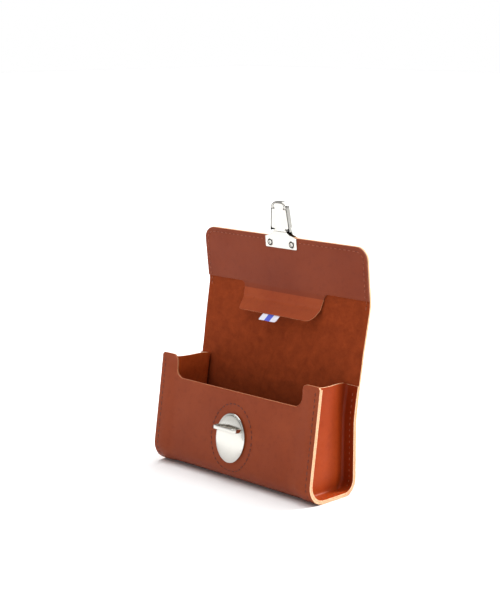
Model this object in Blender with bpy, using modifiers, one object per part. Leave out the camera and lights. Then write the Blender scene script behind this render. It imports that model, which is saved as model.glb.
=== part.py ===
"""A small leather case that stands open, its flap upright behind it.

One strip of thick leather makes the front, the rounded bottom, the back and the flap. Two moulded gussets
close the ends. The flap ends in a metal hasp, whose tongue tucks down through a bow on the oval lock plate.
Metres, +Z up. The front faces -Y, and the origin is the middle of the flat bottom.
The strip is one piece of leather in life. It is divided here at its two fold lines, where it bends.
"""

from math import atan2, cos, pi, radians, sin, tan

import bmesh
import bpy
from mathutils import Matrix, Vector

GAP = 0.0003

# Leathers
STRIP = 0.0018
GUSSET = 0.0013
LINING = 0.0011

# The case body, seen from its end: Y is depth, Z is height
HALF_WIDTH = 0.088
SHOULDER_TOP = 0.092
FRONT_TOP_Y = -0.0157
FRONT_FOOT_Y = -0.0289
FRONT_RADIUS = 0.016
BACK_FOOT_Y = 0.0262
BACK_RADIUS = 0.0125
BACK_BEND_Z = 0.058
BACK_LEAN = radians(9)
BACK_FOLD_Z = 0.0968
FRONT_LEAN = atan2(FRONT_TOP_Y - FRONT_FOOT_Y, SHOULDER_TOP)

# The wide cut-out between the two shoulders of the front
CUTOUT_HALF = 0.070
CUTOUT_FLOOR = 0.0737
CUTOUT_RADIUS = 0.0075
SHOULDER_RADIUS = 0.005
SHOULDER_TIP_RADIUS = 0.003

# Gussets: trays whose floors stand in from the ends of the strip
RECESS = 0.0125
RECESS_BEND = 0.0035
GUSSET_FRONT_TOP = 0.090
GUSSET_BACK_TOP = 0.086

# Flap
FLAP_TOP_LENGTH = 0.0532
FLAP_FRONT_LENGTH = 0.0430
FLAP_CORNER = 0.010
FLAP_FLARE = 0.0013
TIP_LEAN = radians(5.8)
FOLD_CLEARANCE = 0.0006

# The lining of the flap's front, and the free tongue that hangs from it
TONGUE_HALF = 0.042
TONGUE_LENGTH = 0.0225
TONGUE_CORNER = 0.006
TONGUE_DROP = 0.0022
TONGUE_STAND_OFF = 0.0022
TONGUE_ANGLE = radians(7.5)
RIBBON_WIDTH = 0.019
RIBBON_LENGTH = 0.012
RIBBON_OVERLAP = 0.0055
RIBBON_OFFSET = -0.0045
RIBBON = 0.0009

# Lock, in its own frame: +Z up the front panel, -Y straight out of it, 0 on the panel's outer face
LOCK_Z = 0.0369
PLATE_HALF_WIDTH = 0.0158
PLATE_HALF_HEIGHT = 0.0198
PLATE_RIM = 0.0009
PLATE_DOME = 0.0011
BOW_HALF_WIDTH = 0.0125
BOW_Z = 0.0078
BOW_HEIGHT = 0.0033
BOW_REACH = 0.0098
BOW_SHEET = 0.0013
BOW_CORNER = 0.0032
BOW_FOOT = 0.0038
PATCH_HALF_WIDTH = 0.0245
PATCH_HALF_HEIGHT = 0.0285
BACK_PLATE_HALF_WIDTH = 0.0150
BACK_PLATE_HALF_HEIGHT = 0.0170
BACK_PLATE = 0.0008
LOCK_RIVET_Z = 0.0125
LOCK_RIVET_RADIUS = 0.0013

# Hasp, in its own frame: +Z past the flap's free edge, +Y towards the flap's outer face, 0 on its inner face
HASP_HALF_BASE = 0.0170
HASP_BASE_HEIGHT = 0.0095
HASP_HALF_NECK = 0.0068
HASP_NECK_Z = 0.0040
HASP_HALF_SHOULDER = 0.0107
HASP_HALF_TIP = 0.0080
HASP_SHOULDER_Z = 0.0082
SHELL_Z = 0.0046
HASP_TIP_Z = 0.0285
HASP_SHEET = 0.0008
HASP_DEPTH = 2 * HASP_SHEET + LINING + STRIP + 3 * GAP
HASP_GROOVE = 0.0012
CATCH_INSET = 0.0012
PIN_RADIUS = 0.0006
PIN_DEPTH = 0.0019
KNUCKLE_RADIUS = 0.0010
PIN_Z = HASP_NECK_Z + GAP + KNUCKLE_RADIUS
EAR = 0.0010
HASP_RIVET_X = 0.0118
HASP_RIVET_Z = -0.0055
HASP_RIVET_RADIUS = 0.0017
HASP_RIVET_HEAD = 0.0028
HASP_RIVET_BORE = 0.0009

# Colours
TAN = (0.30, 0.075, 0.028)
SUEDE = (0.26, 0.085, 0.035)
CLOTH = (0.82, 0.83, 0.86)
NICKEL = (0.86, 0.85, 0.81)

parts = None
cutters = None


# Outlines ---------------------------------------------------------------------------------------------------


def rounded(corners, closed=False, steps=7):
    """The points of a path through corners (u, v, radius), with an arc of that radius at each corner."""
    points = []
    count = len(corners)
    for i, (u, v, radius) in enumerate(corners):
        here = Vector((u, v))
        if radius == 0 or (not closed and i in (0, count - 1)):
            points.append(here)
            continue
        back = (Vector(corners[i - 1][:2]) - here).normalized()
        on = (Vector(corners[(i + 1) % count][:2]) - here).normalized()
        half = back.angle(on) / 2
        centre = here + (back + on).normalized() * radius / sin(half)
        first = here + back * radius / tan(half) - centre
        turn = first.angle_signed(here + on * radius / tan(half) - centre)
        for k in range(steps + 1):
            points.append(centre + Matrix.Rotation(-turn * k / steps, 2) @ first)
    return points


def ellipse(half_width, half_height, steps=40):
    angles = [2 * pi * k / steps for k in range(steps)]
    return [Vector((half_width * cos(a), half_height * sin(a))) for a in angles]


def shifted(path, distance):
    """The path moved sideways by distance, to the right of its direction."""
    out = []
    for i, point in enumerate(path):
        before = (point - path[i - 1]).normalized() if i else None
        after = (path[i + 1] - point).normalized() if i < len(path) - 1 else None
        along = ((before or after) + (after or before)).normalized()
        cosine = along.dot(before or after)
        out.append(point + Vector((along.y, -along.x)) * distance / cosine)
    return out


def slab_outline(path, thickness, round_end=False, round_start=False):
    """The closed outline of a slab with its middle on the path."""
    half = thickness / 2
    right, left = shifted(path, half), shifted(path, -half)

    def cap(centre, first):
        return [centre + Matrix.Rotation(-pi * k / 6, 2) @ (first - centre) for k in range(1, 6)]

    outline = list(left)
    if round_end:
        outline += cap(path[-1], left[-1])
    outline += list(reversed(right))
    if round_start:
        outline += cap(path[0], right[0])
    return outline


# Solids -----------------------------------------------------------------------------------------------------


def material(name, colour, roughness, metallic=0.0):
    found = bpy.data.materials.get(name)
    if found:
        return found
    made = bpy.data.materials.new(name)
    made.use_nodes = True
    shader = made.node_tree.nodes["Principled BSDF"]
    shader.inputs["Base Color"].default_value = (*colour, 1)
    shader.inputs["Roughness"].default_value = roughness
    shader.inputs["Metallic"].default_value = metallic
    return made


def place(bm, name, finish, parent=None, location=(0, 0, 0), rotation_x=0.0):
    """Makes the object of a finished bmesh: a part with its own material, or a cutter when finish is None."""
    bmesh.ops.recalc_face_normals(bm, faces=bm.faces)
    mesh = bpy.data.meshes.new(name)
    bm.to_mesh(mesh)
    bm.free()
    made = bpy.data.objects.new(name, mesh)
    made.location = location
    made.rotation_euler = (rotation_x, 0, 0)
    made.parent = parent
    if finish is None:
        cutters.objects.link(made)
        made.hide_render = True
        made.display_type = "WIRE"
    else:
        parts.objects.link(made)
        mesh.materials.append(material(name, *finish))
        mesh.shade_smooth()
        mesh.set_sharp_from_angle(angle=radians(35))
    return made


def prism(outline, low, high, axis):
    """A bmesh of the outline extruded along axis from low to high. Its two coordinates are the other axes."""
    bm = bmesh.new()
    orders = {"X": lambda p: (low, p.x, p.y), "Y": lambda p: (p.x, low, p.y), "Z": lambda p: (p.x, p.y, low)}
    order = orders[axis]
    face = bm.faces.new([bm.verts.new(order(point)) for point in outline])
    grown = bmesh.ops.extrude_face_region(bm, geom=[face])["geom"]
    move = {"X": (high - low, 0, 0), "Y": (0, high - low, 0), "Z": (0, 0, high - low)}[axis]
    bmesh.ops.translate(bm, vec=move, verts=[v for v in grown if isinstance(v, bmesh.types.BMVert)])
    return bm


def turned(profile, steps=24):
    """A bmesh of the profile (radius, y) turned round the Y axis."""
    bm = bmesh.new()
    verts = [bm.verts.new((radius, y, 0)) for radius, y in profile]
    edges = [bm.edges.new(pair) for pair in zip(verts, verts[1:])]
    turn = {"cent": (0, 0, 0), "axis": (0, 1, 0), "angle": 2 * pi}
    bmesh.ops.spin(bm, geom=verts + edges, steps=steps, use_merge=True, **turn)
    bmesh.ops.remove_doubles(bm, verts=bm.verts, dist=1e-6)
    return bm


def bar_x(radius, half_length, steps=16):
    """A bmesh of a round bar along X."""
    bm = bmesh.new()
    turn = Matrix.Rotation(pi / 2, 4, "Y")
    bmesh.ops.create_cone(
        bm, cap_ends=True, segments=steps, radius1=radius, radius2=radius, depth=2 * half_length, matrix=turn
    )
    return bm


def combine(target, operation, *others):
    for other in others:
        modifier = target.modifiers.new(other.name, "BOOLEAN")
        modifier.operation = operation
        modifier.object = other
    return target


def axis_empty(name, parent, location, rotation_x):
    made = bpy.data.objects.new(name, None)
    made.location = location
    made.rotation_euler = (rotation_x, 0, 0)
    made.parent = parent
    made.empty_display_size = 0.01
    parts.objects.link(made)
    return made


# The case body ----------------------------------------------------------------------------------------------


def back_outer_y(z):
    """The depth of the back's outer face, which leans out above its bend."""
    return BACK_FOOT_Y + max(0, z - BACK_BEND_Z) * tan(BACK_LEAN)


def body_path(inward, front_top, back_top):
    """The strip's outer face seen from the end, moved inward, from the front's top edge to the back's."""
    outer = rounded(
        [
            (FRONT_TOP_Y + (SHOULDER_TOP - front_top) * -tan(FRONT_LEAN), front_top, 0),
            (FRONT_FOOT_Y, 0, FRONT_RADIUS),
            (BACK_FOOT_Y, 0, BACK_RADIUS),
            (BACK_FOOT_Y, BACK_BEND_Z, 0.05),
            (back_outer_y(back_top), back_top, 0),
        ]
    )
    return shifted(outer, -inward)


def front_top_cutter():
    """Takes the front down to its cut-out and rounds the shoulders."""
    side = HALF_WIDTH + 0.0001
    clear = HALF_WIDTH + 0.004
    low, high = SHOULDER_TOP - 0.012, SHOULDER_TOP + 0.008
    edge = [
        (-side, low, 0),
        (-side, SHOULDER_TOP, SHOULDER_TIP_RADIUS),
        (-CUTOUT_HALF, SHOULDER_TOP, SHOULDER_RADIUS),
        (-CUTOUT_HALF, CUTOUT_FLOOR, CUTOUT_RADIUS),
        (CUTOUT_HALF, CUTOUT_FLOOR, CUTOUT_RADIUS),
        (CUTOUT_HALF, SHOULDER_TOP, SHOULDER_RADIUS),
        (side, SHOULDER_TOP, SHOULDER_TIP_RADIUS),
        (side, low, 0),
    ]
    rest = [(clear, low, 0), (clear, high, 0), (-clear, high, 0), (-clear, low, 0)]
    return place(prism(rounded(edge + rest, closed=True), -0.045, -0.002, "Y"), "front_top_cutter", None)


def main_panel(lock_holes):
    half = STRIP / 2
    fold = BACK_FOLD_Z - (FOLD_CLEARANCE + half) * cos(BACK_LEAN) - half * sin(BACK_LEAN)
    path = body_path(STRIP / 2, SHOULDER_TOP + 0.001, fold)
    outline = slab_outline(path, STRIP, round_end=True)
    made = place(prism(outline, -HALF_WIDTH, HALF_WIDTH, "X"), "main_panel", (TAN, 0.42))
    return combine(made, "DIFFERENCE", front_top_cutter(), *lock_holes)


def gusset(name, side):
    """A tray open outwards and upwards: its rim lies inside the strip, and a bend leads to its floor."""
    bm = bmesh.new()
    edge, floor = HALF_WIDTH - 0.0002, HALF_WIDTH - RECESS
    bend = [(0, edge), (0, floor + RECESS_BEND)]
    bend += [
        (RECESS_BEND * (1 - cos(a)), floor + RECESS_BEND * (1 - sin(a)))
        for a in (radians(30), radians(60), pi / 2)
    ]
    rings = []
    for inward, x in bend:
        path = body_path(STRIP + GAP + inward, GUSSET_FRONT_TOP, GUSSET_BACK_TOP)
        rings.append([bm.verts.new((side * x, p.x, p.y)) for p in path])
    for outer, inner in zip(rings, rings[1:]):
        for i in range(len(outer) - 1):
            bm.faces.new((outer[i], outer[i + 1], inner[i + 1], inner[i]))
    bm.faces.new(rings[-1])
    bmesh.ops.recalc_face_normals(bm, faces=bm.faces)
    across = sum((face.normal.x for face in bm.faces if len(face.verts) > 4), 0.0)
    made = place(bm, name, (TAN, 0.45))
    skin = made.modifiers.new("leather", "SOLIDIFY")
    skin.thickness = GUSSET
    skin.offset = -1 if across * side < 0 else 1
    skin.use_even_offset = True
    return made


# The lock ---------------------------------------------------------------------------------------------------


def lock_frame():
    centre_y = FRONT_FOOT_Y + LOCK_Z * tan(FRONT_LEAN)
    return axis_empty("lock_frame", None, (0, centre_y, LOCK_Z), -FRONT_LEAN)


def lock_depths():
    """The distances behind the panel's outer face at which the patch, the back plate and the heads begin."""
    patch = STRIP + GAP
    back_plate = patch + LINING + GAP
    return patch, back_plate, back_plate + BACK_PLATE + GAP


def lock_hole_cutters(frame):
    """Cutters for the slots of the bow's feet and for the two rivets, through all that's behind the plate."""
    made = []
    for side in (-1, 1):
        x = side * (BOW_HALF_WIDTH - BOW_SHEET / 2)
        w, h = BOW_SHEET / 2 + GAP, BOW_HEIGHT / 2 + GAP
        corners = [Vector((x + a * w, BOW_Z + b * h)) for a, b in ((-1, -1), (1, -1), (1, 1), (-1, 1))]
        made.append(place(prism(corners, -0.004, 0.012, "Y"), f"bow_slot_{side}", None, frame))
        r = LOCK_RIVET_RADIUS + GAP
        hole = turned([(0, 0.012), (r, 0.012), (r, -0.0011), (0, -0.0011)])
        made.append(place(hole, f"rivet_hole_{side}", None, frame, (0, 0, side * LOCK_RIVET_Z)))
    return made


def lock_plate(frame, holes):
    rim = -GAP - PLATE_RIM
    dome = [(PLATE_HALF_WIDTH * sin(a), rim - PLATE_DOME * cos(a)) for a in (pi * k / 14 for k in range(8))]
    bm = turned(dome + [(PLATE_HALF_WIDTH, -GAP), (0, -GAP)], 40)
    bmesh.ops.scale(bm, vec=(1, 1, PLATE_HALF_HEIGHT / PLATE_HALF_WIDTH), verts=bm.verts)
    return combine(place(bm, "lock_plate", (NICKEL, 0.12, 1.0), frame), "DIFFERENCE", *holes)


def lock_bow(frame):
    """The bridge that the hasp's tongue tucks behind. Its two feet are bent over inside the case."""
    middle = BOW_HALF_WIDTH - BOW_SHEET / 2
    foot = lock_depths()[2] + BOW_SHEET / 2
    path = rounded(
        [
            (-middle + BOW_FOOT, foot, 0),
            (-middle, foot, 0.0007),
            (-middle, -BOW_REACH + BOW_SHEET / 2, BOW_CORNER),
            (middle, -BOW_REACH + BOW_SHEET / 2, BOW_CORNER),
            (middle, foot, 0.0007),
            (middle - BOW_FOOT, foot, 0),
        ]
    )
    bm = prism(slab_outline(path, BOW_SHEET), BOW_Z - BOW_HEIGHT / 2, BOW_Z + BOW_HEIGHT / 2, "Z")
    return place(bm, "lock_bow", (NICKEL, 0.12, 1.0), frame)


def lock_inside(frame, holes):
    """The leather patch and the metal plate that back the lock inside the case, and the two rivets."""
    _, back_plate, heads = lock_depths()
    along = body_path(STRIP + GAP + LINING / 2, LOCK_Z + PATCH_HALF_HEIGHT + 0.004, BACK_BEND_Z + 0.01)
    bm = prism(slab_outline(along, LINING), -1.2 * PATCH_HALF_WIDTH, 1.2 * PATCH_HALF_WIDTH, "X")
    patch = place(bm, "lock_patch", (SUEDE, 0.8))
    bm = prism(ellipse(PATCH_HALF_WIDTH, PATCH_HALF_HEIGHT), 0, 0.012, "Y")
    combine(patch, "INTERSECT", place(bm, "patch_outline", None, frame))
    combine(patch, "DIFFERENCE", *holes)
    oval = ellipse(BACK_PLATE_HALF_WIDTH, BACK_PLATE_HALF_HEIGHT)
    bm = prism(oval, back_plate, back_plate + BACK_PLATE, "Y")
    combine(place(bm, "lock_back_plate", (NICKEL, 0.3, 1.0), frame), "DIFFERENCE", *holes)
    r = LOCK_RIVET_RADIUS
    head = [(0, heads + 0.0008), (1.6 * r, heads + 0.0006), (2 * r, heads), (r, heads)]
    for name, side in (("lock_rivet_upper", 1), ("lock_rivet_lower", -1)):
        bm = turned(head + [(r, -0.0008), (0, -0.0008)], 20)
        place(bm, name, (NICKEL, 0.25, 1.0), frame, (0, 0, side * LOCK_RIVET_Z))


# The flap ---------------------------------------------------------------------------------------------------


def leather_leaf(length, y0, y1, half_width, corner=0.0, round_foot=True):
    """A flat leather panel that rises from the fold, with two rounded far corners and flared sides."""
    half_thickness, middle = (y1 - y0) / 2, (y0 + y1) / 2
    start = FOLD_CLEARANCE + (half_thickness if round_foot else 0)
    path = [Vector((middle, start)), Vector((middle, length))]
    bm = prism(slab_outline(path, y1 - y0, round_start=round_foot), -half_width, half_width, "X")
    if corner:
        ends = [e for e in bm.edges if all(v.co.z > length - 1e-5 for v in e.verts)]
        across = [e for e in ends if abs(e.verts[0].co.x - e.verts[1].co.x) < 1e-6]
        bmesh.ops.bevel(bm, geom=across, offset=corner, segments=8, profile=0.5, affect="EDGES")
    for v in bm.verts:
        v.co.x *= 1 + FLAP_FLARE / 2 * v.co.z / length / half_width
    return bm


def flap_top(frame):
    """The part of the strip between the two folds. Its far end is round too, so that both folds can close."""
    half = STRIP / 2
    bm = leather_leaf(FLAP_TOP_LENGTH - FOLD_CLEARANCE - half, -half, half, HALF_WIDTH)
    place(bm, "flap_top", (SUEDE, 0.7), frame)


def flap_front(frame, holes):
    """The end of the strip, and the facing sewn to its inner side."""
    half = STRIP / 2
    width = HALF_WIDTH + FLAP_FLARE / 2
    bm = leather_leaf(FLAP_FRONT_LENGTH, -half, half, width, FLAP_CORNER)
    combine(place(bm, "flap_front", (TAN, 0.42), frame), "DIFFERENCE", *holes)
    outer = -half - GAP
    bm = leather_leaf(FLAP_FRONT_LENGTH, outer - LINING, outer, width, FLAP_CORNER, round_foot=False)
    combine(place(bm, "facing", (TAN, 0.4), frame), "DIFFERENCE", *holes)


def facing_tongue(top_frame):
    """The lining's free tongue, hung just below the fold, and the ribbon tab sewn behind its lower edge."""
    location = (0, -STRIP / 2 - TONGUE_STAND_OFF, FLAP_TOP_LENGTH - TONGUE_DROP)
    frame = axis_empty("tongue_axis", top_frame, location, -TONGUE_ANGLE)
    corners = [
        (-TONGUE_HALF, -0.0003, 0),
        (-TONGUE_HALF, -TONGUE_LENGTH, TONGUE_CORNER),
        (TONGUE_HALF, -TONGUE_LENGTH, TONGUE_CORNER),
        (TONGUE_HALF, -0.0003, 0),
    ]
    place(prism(rounded(corners), -LINING / 2, LINING / 2, "Y"), "facing_tongue", (TAN, 0.5), frame)
    near = LINING / 2 + GAP
    top = -TONGUE_LENGTH + RIBBON_OVERLAP
    path = rounded(
        [
            (near + RIBBON / 2, top, 0),
            (near + RIBBON / 2, -TONGUE_LENGTH - 0.0006, 0.002),
            (near + RIBBON / 2 - 0.0034, top - RIBBON_LENGTH, 0),
        ]
    )
    x0, x1 = RIBBON_OFFSET - RIBBON_WIDTH / 2, RIBBON_OFFSET + RIBBON_WIDTH / 2
    place(prism(slab_outline(path, RIBBON), x0, x1, "X"), "ribbon_label", (CLOTH, 0.7), frame)


# The hasp ---------------------------------------------------------------------------------------------------


def hasp_outline(inset, low):
    """The tongue's outline from z = low to its round tip, narrower by inset on each side."""
    tip, narrow = HASP_TIP_Z - inset, HASP_HALF_TIP - inset
    share = (HASP_TIP_Z - low) / (HASP_TIP_Z - SHELL_Z)
    wide = narrow + (HASP_HALF_SHOULDER - HASP_HALF_TIP) * share
    return rounded(
        [(-wide, low, 0), (-narrow, tip, narrow * 0.8), (narrow, tip, narrow * 0.8), (wide, low, 0)], steps=8
    )


def base_outline(half_neck, neck_z, shoulder_out, shoulder_drop, round_in):
    """The base below the flap's edge, and its shoulders that draw in to the neck."""
    half, low, high = HASP_HALF_BASE, -HASP_BASE_HEIGHT, -0.0008
    return rounded(
        [
            (-half, low, 0.0008),
            (half, low, 0.0008),
            (half, high, 0.0008),
            (half_neck + shoulder_out, neck_z - shoulder_drop, round_in),
            (half_neck, neck_z, 0),
            (-half_neck, neck_z, 0),
            (-half_neck - shoulder_out, neck_z - shoulder_drop, round_in),
            (-half, high, 0.0008),
        ],
        closed=True,
        steps=4,
    )


def hasp_rivet_cutters(frame):
    r, deep = HASP_RIVET_RADIUS + GAP, HASP_DEPTH + 0.002
    return [
        place(
            turned([(0, -0.002), (r, -0.002), (r, deep), (0, deep)], 20),
            f"hasp_hole_{side}",
            None,
            frame,
            (side * HASP_RIVET_X, 0, HASP_RIVET_Z),
        )
        for side in (-1, 1)
    ]


def hasp_shell(frame, holes):
    """The outer stamping: a base on the flap, a groove for the bow, and the tongue's hollow shell."""
    outer = HASP_DEPTH - HASP_SHEET / 2
    groove = outer - HASP_GROOVE
    side_view = rounded(
        [
            (outer, -HASP_BASE_HEIGHT - 0.003, 0),
            (outer, 0.0010, 0.0008),
            (groove, 0.0022, 0.0008),
            (groove, HASP_SHOULDER_Z - 0.0014, 0.0008),
            (outer, HASP_SHOULDER_Z - 0.0004, 0.0008),
            (outer, HASP_TIP_Z - 0.0060, 0.010),
            (outer - 0.0016, HASP_TIP_Z + 0.001, 0),
        ],
        steps=4,
    )
    bm = prism(slab_outline(side_view, HASP_SHEET), -0.03, 0.03, "X")
    sheet = place(bm, "hasp_shell", (NICKEL, 0.12, 1.0), frame)
    base = base_outline(HASP_HALF_SHOULDER - 0.0006, SHELL_Z + 0.0010, 0.0010, 0.0036, 0.0012)
    plan = place(prism(base, -0.002, HASP_DEPTH + 0.003, "Y"), "shell_plan_base", None, frame)
    tongue = prism(hasp_outline(0, SHELL_Z - 0.0002), -0.003, HASP_DEPTH + 0.004, "Y")
    combine(plan, "UNION", place(tongue, "shell_plan_tongue", None, frame))
    rim = HASP_SHEET * 0.7
    walls = prism(hasp_outline(-0.00003, SHELL_Z), rim, outer + 0.001, "Y")
    walls = place(walls, "shell_walls", None, frame)
    hollow = prism(hasp_outline(HASP_SHEET, SHELL_Z - 0.001), -0.001, outer + 0.002, "Y")
    combine(walls, "DIFFERENCE", place(hollow, "shell_hollow", None, frame))
    far, near = side_view[-1], side_view[0]
    under = side_view + [Vector((-0.002, far.y)), Vector((-0.002, near.y))]
    combine(walls, "INTERSECT", place(prism(under, -0.031, 0.031, "X"), "shell_under", None, frame))
    combine(sheet, "INTERSECT", plan)
    combine(sheet, "UNION", walls)
    return combine(sheet, "DIFFERENCE", *holes)


def ear(name, frame, x, radius, foot, first_angle):
    """A lug that stands on a plate and rounds over the pin. Foot gives its corners on the plate."""
    centre = Vector((PIN_DEPTH, PIN_Z))
    arc = [first_angle + pi * k / 8 for k in range(9)]
    outline = foot + [centre + Vector((sin(a), cos(a))) * radius for a in arc]
    return place(prism(outline, x - EAR / 2, x + EAR / 2, "X"), name, None, frame)


def pin_hole(frame):
    return place(bar_x(PIN_RADIUS + 0.00008, 0.02), "pin_hole", None, frame, (0, PIN_DEPTH, PIN_Z))


def hasp_base(frame, holes, pin):
    """The inner base plate. Two ears at its neck hold the pin."""
    bm = prism(base_outline(HASP_HALF_NECK, HASP_NECK_Z, 0.0025, 0.0018, 0.0030), 0, HASP_SHEET, "Y")
    plate = place(bm, "hasp_base", (NICKEL, 0.12, 1.0), frame)
    middle, top = HASP_SHEET / 2, HASP_NECK_Z - 0.0001
    foot = [Vector((middle, top - 0.0016)), Vector((middle, top)), Vector((HASP_SHEET + GAP, top))]
    for side in (-1, 1):
        combine(plate, "UNION", ear(f"base_ear_{side}", frame, side * 0.0044, 0.0009, foot, -pi / 2))
    return combine(plate, "DIFFERENCE", pin, *holes)


def hasp_catch(frame, pin):
    """The sprung inner plate of the tongue. Its two ears turn on the pin, outside those of the base."""
    low, shoulder = HASP_NECK_Z + GAP, HASP_SHOULDER_Z
    neck = HASP_HALF_NECK
    path = [Vector((-neck, low)), Vector((-neck, shoulder - 0.0004))]
    path += hasp_outline(CATCH_INSET, shoulder)
    path += [Vector((neck, shoulder - 0.0004)), Vector((neck, low))]
    plate = place(prism(path, 0, HASP_SHEET, "Y"), "hasp_catch", (NICKEL, 0.12, 1.0), frame)
    middle = HASP_SHEET / 2
    foot = [Vector((middle, PIN_Z - KNUCKLE_RADIUS)), Vector((middle, PIN_Z + KNUCKLE_RADIUS))]
    for side in (-1, 1):
        combine(plate, "UNION", ear(f"catch_ear_{side}", frame, side * 0.0060, KNUCKLE_RADIUS, foot, 0))
    return combine(plate, "DIFFERENCE", pin)


def hasp_small_parts(frame):
    """The pin, the leaf spring behind the catch, and the two tubular rivets of the base."""
    bm = bar_x(PIN_RADIUS, HASP_HALF_NECK + 0.0003)
    place(bm, "hasp_pin", (NICKEL, 0.25, 1.0), frame, (0, PIN_DEPTH, PIN_Z))
    leaf = rounded(
        [
            (HASP_DEPTH - HASP_SHEET - GAP - 0.0002, HASP_TIP_Z - 0.0075, 0),
            (HASP_DEPTH - HASP_SHEET - GAP - 0.0002, HASP_TIP_Z - 0.0125, 0.004),
            (0.0026, HASP_SHOULDER_Z + 0.0030, 0),
        ],
        steps=4,
    )
    place(prism(slab_outline(leaf, 0.0004), -0.0035, 0.0035, "X"), "hasp_spring", (NICKEL, 0.35, 1.0), frame)
    r, head, bore, far = HASP_RIVET_RADIUS, HASP_RIVET_HEAD, HASP_RIVET_BORE, HASP_DEPTH + GAP
    profile = [
        (0, far + 0.0010),
        (head * 0.7, far + 0.0009),
        (head, far + 0.0003),
        (head, far),
        (r, far),
        (r, -GAP),
        (head, -GAP),
        (head * 0.85, -GAP - 0.0005),
        (bore, -GAP - 0.0003),
        (bore, HASP_DEPTH - 0.0010),
        (0, HASP_DEPTH - 0.0010),
    ]
    for name, side in (("hasp_rivet_left", -1), ("hasp_rivet_right", 1)):
        place(turned(profile, 24), name, (NICKEL, 0.15, 1.0), frame, (side * HASP_RIVET_X, 0, HASP_RIVET_Z))


# Assembly ---------------------------------------------------------------------------------------------------


def clear_scene():
    for obj in list(bpy.data.objects):
        bpy.data.objects.remove(obj, do_unlink=True)


def build():
    global parts, cutters
    clear_scene()
    parts = bpy.data.collections.new("leather_case")
    cutters = bpy.data.collections.new("cutters")
    for collection in (parts, cutters):
        bpy.context.scene.collection.children.link(collection)

    lock = lock_frame()
    lock_holes = lock_hole_cutters(lock)
    main_panel(lock_holes)
    gusset("gusset_left", -1)
    gusset("gusset_right", 1)
    lock_plate(lock, lock_holes)
    lock_bow(lock)
    lock_inside(lock, lock_holes)

    middle = STRIP / 2
    back_fold_y = back_outer_y(BACK_FOLD_Z) - middle / cos(BACK_LEAN)
    top_frame = axis_empty("back_fold_axis", None, (0, back_fold_y, BACK_FOLD_Z), -BACK_LEAN)
    flap_top(top_frame)
    facing_tongue(top_frame)

    tip_frame = axis_empty("front_fold_axis", top_frame, (0, 0, FLAP_TOP_LENGTH), BACK_LEAN + TIP_LEAN)
    inner_face = -middle - GAP - LINING - GAP - HASP_SHEET
    hasp = axis_empty("hasp_frame", tip_frame, (0, inner_face, FLAP_FRONT_LENGTH), 0)
    hasp_holes = hasp_rivet_cutters(hasp)
    flap_front(tip_frame, hasp_holes)
    hasp_shell(hasp, hasp_holes)
    pin = pin_hole(hasp)
    hasp_base(hasp, hasp_holes, pin)
    hasp_catch(hasp, pin)
    hasp_small_parts(hasp)


build()
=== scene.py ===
"""Looks of the open leather case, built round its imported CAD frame.

Metres, +Z up, and the front faces -Y. The strip of leather that makes the front, bottom, back and flap is
drawn flat, as (across, along), and then bent along its profile. Along starts at the front's top edge.
"""

from bisect import bisect_right
from math import atan2, cos, exp, pi, radians, sin, tan

import bmesh
import bpy
from mathutils import Matrix, Vector, noise


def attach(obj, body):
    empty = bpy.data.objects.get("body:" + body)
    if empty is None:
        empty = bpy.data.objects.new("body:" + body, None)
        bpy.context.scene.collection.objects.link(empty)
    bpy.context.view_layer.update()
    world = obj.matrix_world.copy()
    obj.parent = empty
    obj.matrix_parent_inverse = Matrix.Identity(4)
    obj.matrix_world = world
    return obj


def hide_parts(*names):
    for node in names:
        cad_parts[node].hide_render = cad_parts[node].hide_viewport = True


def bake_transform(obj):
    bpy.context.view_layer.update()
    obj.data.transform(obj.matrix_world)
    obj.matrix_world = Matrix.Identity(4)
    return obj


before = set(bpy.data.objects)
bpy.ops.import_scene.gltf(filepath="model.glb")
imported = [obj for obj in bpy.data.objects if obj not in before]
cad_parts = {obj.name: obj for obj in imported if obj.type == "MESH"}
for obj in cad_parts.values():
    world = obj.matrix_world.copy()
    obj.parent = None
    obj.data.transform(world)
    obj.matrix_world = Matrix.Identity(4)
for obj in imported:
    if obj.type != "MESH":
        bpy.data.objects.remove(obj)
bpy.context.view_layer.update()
MM = 0.001

# Sizes that part.py states too
STRIP = 1.8 * MM
LINING = 1.1 * MM
GUSSET = 1.3 * MM
HALF_WIDTH = 88.0 * MM
SHOULDER_TOP = 92.0 * MM
FRONT_TOP_Y, FRONT_FOOT_Y, FRONT_RADIUS = -15.7 * MM, -28.9 * MM, 16.0 * MM
BACK_FOOT_Y, BACK_RADIUS = 26.2 * MM, 12.5 * MM
CUTOUT_HALF, CUTOUT_DEPTH = 70.0 * MM, 18.5 * MM
FLAP_HALF_WIDTH = 89.15 * MM
FLOOR_X = 76.15 * MM
FRONT_LEAN = atan2(FRONT_TOP_Y - FRONT_FOOT_Y, SHOULDER_TOP)
LOCK_HEIGHT = 36.9 * MM
LOCK_CENTRE = Vector((0, FRONT_FOOT_Y + LOCK_HEIGHT * tan(FRONT_LEAN), LOCK_HEIGHT))
LOCK_PLATE_HALF = (15.8 * MM, 19.8 * MM)
HASP_ORIGIN = Vector((0, 32.028, 191.781)) * MM
HASP_TURN = Matrix.Rotation(radians(5.8), 3, "X")
LOCK_TURN = Matrix.Rotation(-FRONT_LEAN, 3, "X")

# The room between leathers that lie on each other
TOUCH = 0.02 * MM


# Colour and materials -------------------


def linear(red, green, blue):
    """Display values from 0 to 255 as linear colour, by the sRGB curve."""
    shares = (red / 255, green / 255, blue / 255)
    return tuple(share / 12.92 if share < 0.0405 else ((share + 0.055) / 1.055) ** 2.4 for share in shares)


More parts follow.
